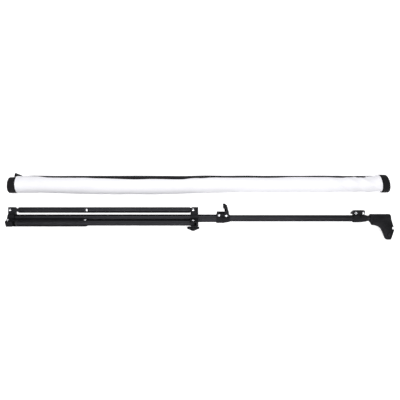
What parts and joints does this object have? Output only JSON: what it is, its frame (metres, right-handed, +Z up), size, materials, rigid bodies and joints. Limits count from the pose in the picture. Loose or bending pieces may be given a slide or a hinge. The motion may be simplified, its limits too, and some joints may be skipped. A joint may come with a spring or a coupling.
{
  "type": "background support kit",
  "caption": "Folded three-section background stand with flip-lock clamps, a fold-out tripod base and a hanger head, lying beside a rolled cloth backdrop.",
  "frame": {"origin": "centre of the bounding box's bottom face, on the surface that the folded kit lies on", "axes": "+X along the stand from its feet to its head, +Z up from the surface, +Y from the stand to the backdrop roll"},
  "size_m": [1.529, 0.2674, 0.1047],
  "materials": {
    "tube_black": "satin powder coat",
    "moulded_black": "fine grained moulding",
    "bright_steel": "bright plated",
    "nylon": "natural nylon",
    "rubber_black": "matte",
    "core_alloy": "drawn",
    "cloth_white": "plain weave",
    "cloth_black": "plain weave"
  },
  "bodies": {
    "column": {"base_tube": "tube_black", "base_plug": "moulded_black", "spider": "moulded_black", "spider_pins": "bright_steel", "guide_bush_lower": "nylon", "clamp_lower": "moulded_black", "clamp_lower_bolts": "bright_steel"},
    "lower_lever": {"lever_lower": "moulded_black"},
    "collar": {"collar": "moulded_black", "collar_rivets": "bright_steel"},
    "knob": {"lock_knob": "moulded_black", "lock_knob_stud": "bright_steel"},
    "leg_1": {"leg_tube_1": "tube_black", "leg_fitting_1": "moulded_black", "leg_foot_1": "rubber_black", "leg_rivet_1": "bright_steel"},
    "strut_1": {"strut_1": "tube_black", "strut_rivet_1": "bright_steel"},
    "leg_2": {"leg_tube_2": "tube_black", "leg_fitting_2": "moulded_black", "leg_foot_2": "rubber_black", "leg_rivet_2": "bright_steel"},
    "strut_2": {"strut_2": "tube_black", "strut_rivet_2": "bright_steel"},
    "leg_3": {"leg_tube_3": "tube_black", "leg_fitting_3": "moulded_black", "leg_foot_3": "rubber_black", "leg_rivet_3": "bright_steel"},
    "strut_3": {"strut_3": "tube_black", "strut_rivet_3": "bright_steel"},
    "middle_section": {"middle_tube": "tube_black", "middle_bush": "nylon", "guide_bush_upper": "nylon", "clamp_upper": "moulded_black", "clamp_upper_bolts": "bright_steel"},
    "upper_lever": {"lever_upper": "moulded_black"},
    "upper_section": {"upper_tube": "tube_black", "upper_bush": "nylon", "upper_plug": "moulded_black"},
    "head": {"head": "moulded_black", "sleeve_screw": "tube_black", "socket_screw": "tube_black"},
    "backdrop": {"core_tube": "core_alloy", "core_plug_left": "moulded_black", "core_plug_right": "moulded_black", "cloth_roll": "cloth_white", "edge_binding": "cloth_black", "corner_tab": "cloth_black"},
    "left_cover": {"end_cover_left": "cloth_black"},
    "right_cover": {"end_cover_right": "cloth_black"}
  },
  "joints": [
    {"name": "collar_slide", "type": "slide", "parent": "column", "child": "collar", "axis": [-1, 0, 0], "range_m": [0, 0.233]},
    {"name": "lock_knob_turn", "type": "hinge", "parent": "collar", "child": "knob", "pos_m": [-0.0246, -0.08053, 0.03554], "axis": [0, -0.9511, -0.309], "range_deg": [-180, 180]},
    {"name": "leg_1_fold", "type": "hinge", "parent": "collar", "child": "leg_1", "pos_m": [-0.0246, -0.01938, 0.05541], "axis": [0, 0.309, -0.9511], "range_deg": [0, 38]},
    {"name": "strut_1_fold", "type": "hinge", "parent": "leg_1", "child": "strut_1", "pos_m": [-0.4399, -0.01938, 0.05541], "axis": [0, -0.309, 0.9511], "range_deg": [0, 97.1]},
    {"name": "leg_2_fold", "type": "hinge", "parent": "collar", "child": "leg_2", "pos_m": [-0.0246, -0.07444, 0.06711], "axis": [0, 0.6691, 0.7431], "range_deg": [0, 38]},
    {"name": "strut_2_fold", "type": "hinge", "parent": "leg_2", "child": "strut_2", "pos_m": [-0.4399, -0.07444, 0.06711], "axis": [0, -0.6691, -0.7431], "range_deg": [0, 97.1]},
    {"name": "leg_3_fold", "type": "hinge", "parent": "collar", "child": "leg_3", "pos_m": [-0.0246, -0.05705, 0.01358], "axis": [0, -0.9781, 0.2079], "range_deg": [0, 38]},
    {"name": "strut_3_fold", "type": "hinge", "parent": "leg_3", "child": "strut_3", "pos_m": [-0.4399, -0.05705, 0.01358], "axis": [0, 0.9781, -0.2079], "range_deg": [0, 97.1]},
    {"name": "lower_lever_flip", "type": "hinge", "parent": "column", "child": "lower_lever", "pos_m": [0.1041, -0.03765, 0.06214], "axis": [0, 0.7986, -0.6018], "range_deg": [-76, 24]},
    {"name": "middle_section_slide", "type": "slide", "parent": "column", "child": "middle_section", "axis": [1, 0, 0], "range_m": [0, 0.6]},
    {"name": "upper_lever_flip", "type": "hinge", "parent": "middle_section", "child": "upper_lever", "pos_m": [0.6391, -0.03032, 0.05186], "axis": [0, 0.309, -0.9511], "range_deg": [0, 100]},
    {"name": "upper_section_slide", "type": "slide", "parent": "middle_section", "child": "upper_section", "axis": [1, 0, 0], "range_m": [0, 0.66]},
    {"name": "head_swivel", "type": "hinge", "parent": "upper_section", "child": "head", "pos_m": [0.6671, -0.05029, 0.04537], "axis": [1, 0, 0], "continuous": true},
    {"name": "backdrop_lift_off", "type": "slide", "parent": "column", "child": "backdrop", "axis": [0, 0, 1], "range_m": [0, 0.25]},
    {"name": "left_cover_pull", "type": "slide", "parent": "backdrop", "child": "left_cover", "axis": [-1, -0.0042, 0], "range_m": [0, 0.08]},
    {"name": "right_cover_pull", "type": "slide", "parent": "backdrop", "child": "right_cover", "axis": [1, 0.0042, 0], "range_m": [0, 0.08]}
  ],
  "couplings": [
    {"joint": "leg_1_fold", "follows": "collar_slide", "rad_per_m": 2.8464},
    {"joint": "strut_1_fold", "follows": "collar_slide", "rad_per_m": 7.2729},
    {"joint": "leg_2_fold", "follows": "collar_slide", "rad_per_m": 2.8464},
    {"joint": "strut_2_fold", "follows": "collar_slide", "rad_per_m": 7.2729},
    {"joint": "leg_3_fold", "follows": "collar_slide", "rad_per_m": 2.8464},
    {"joint": "strut_3_fold", "follows": "collar_slide", "rad_per_m": 7.2729}
  ]
}
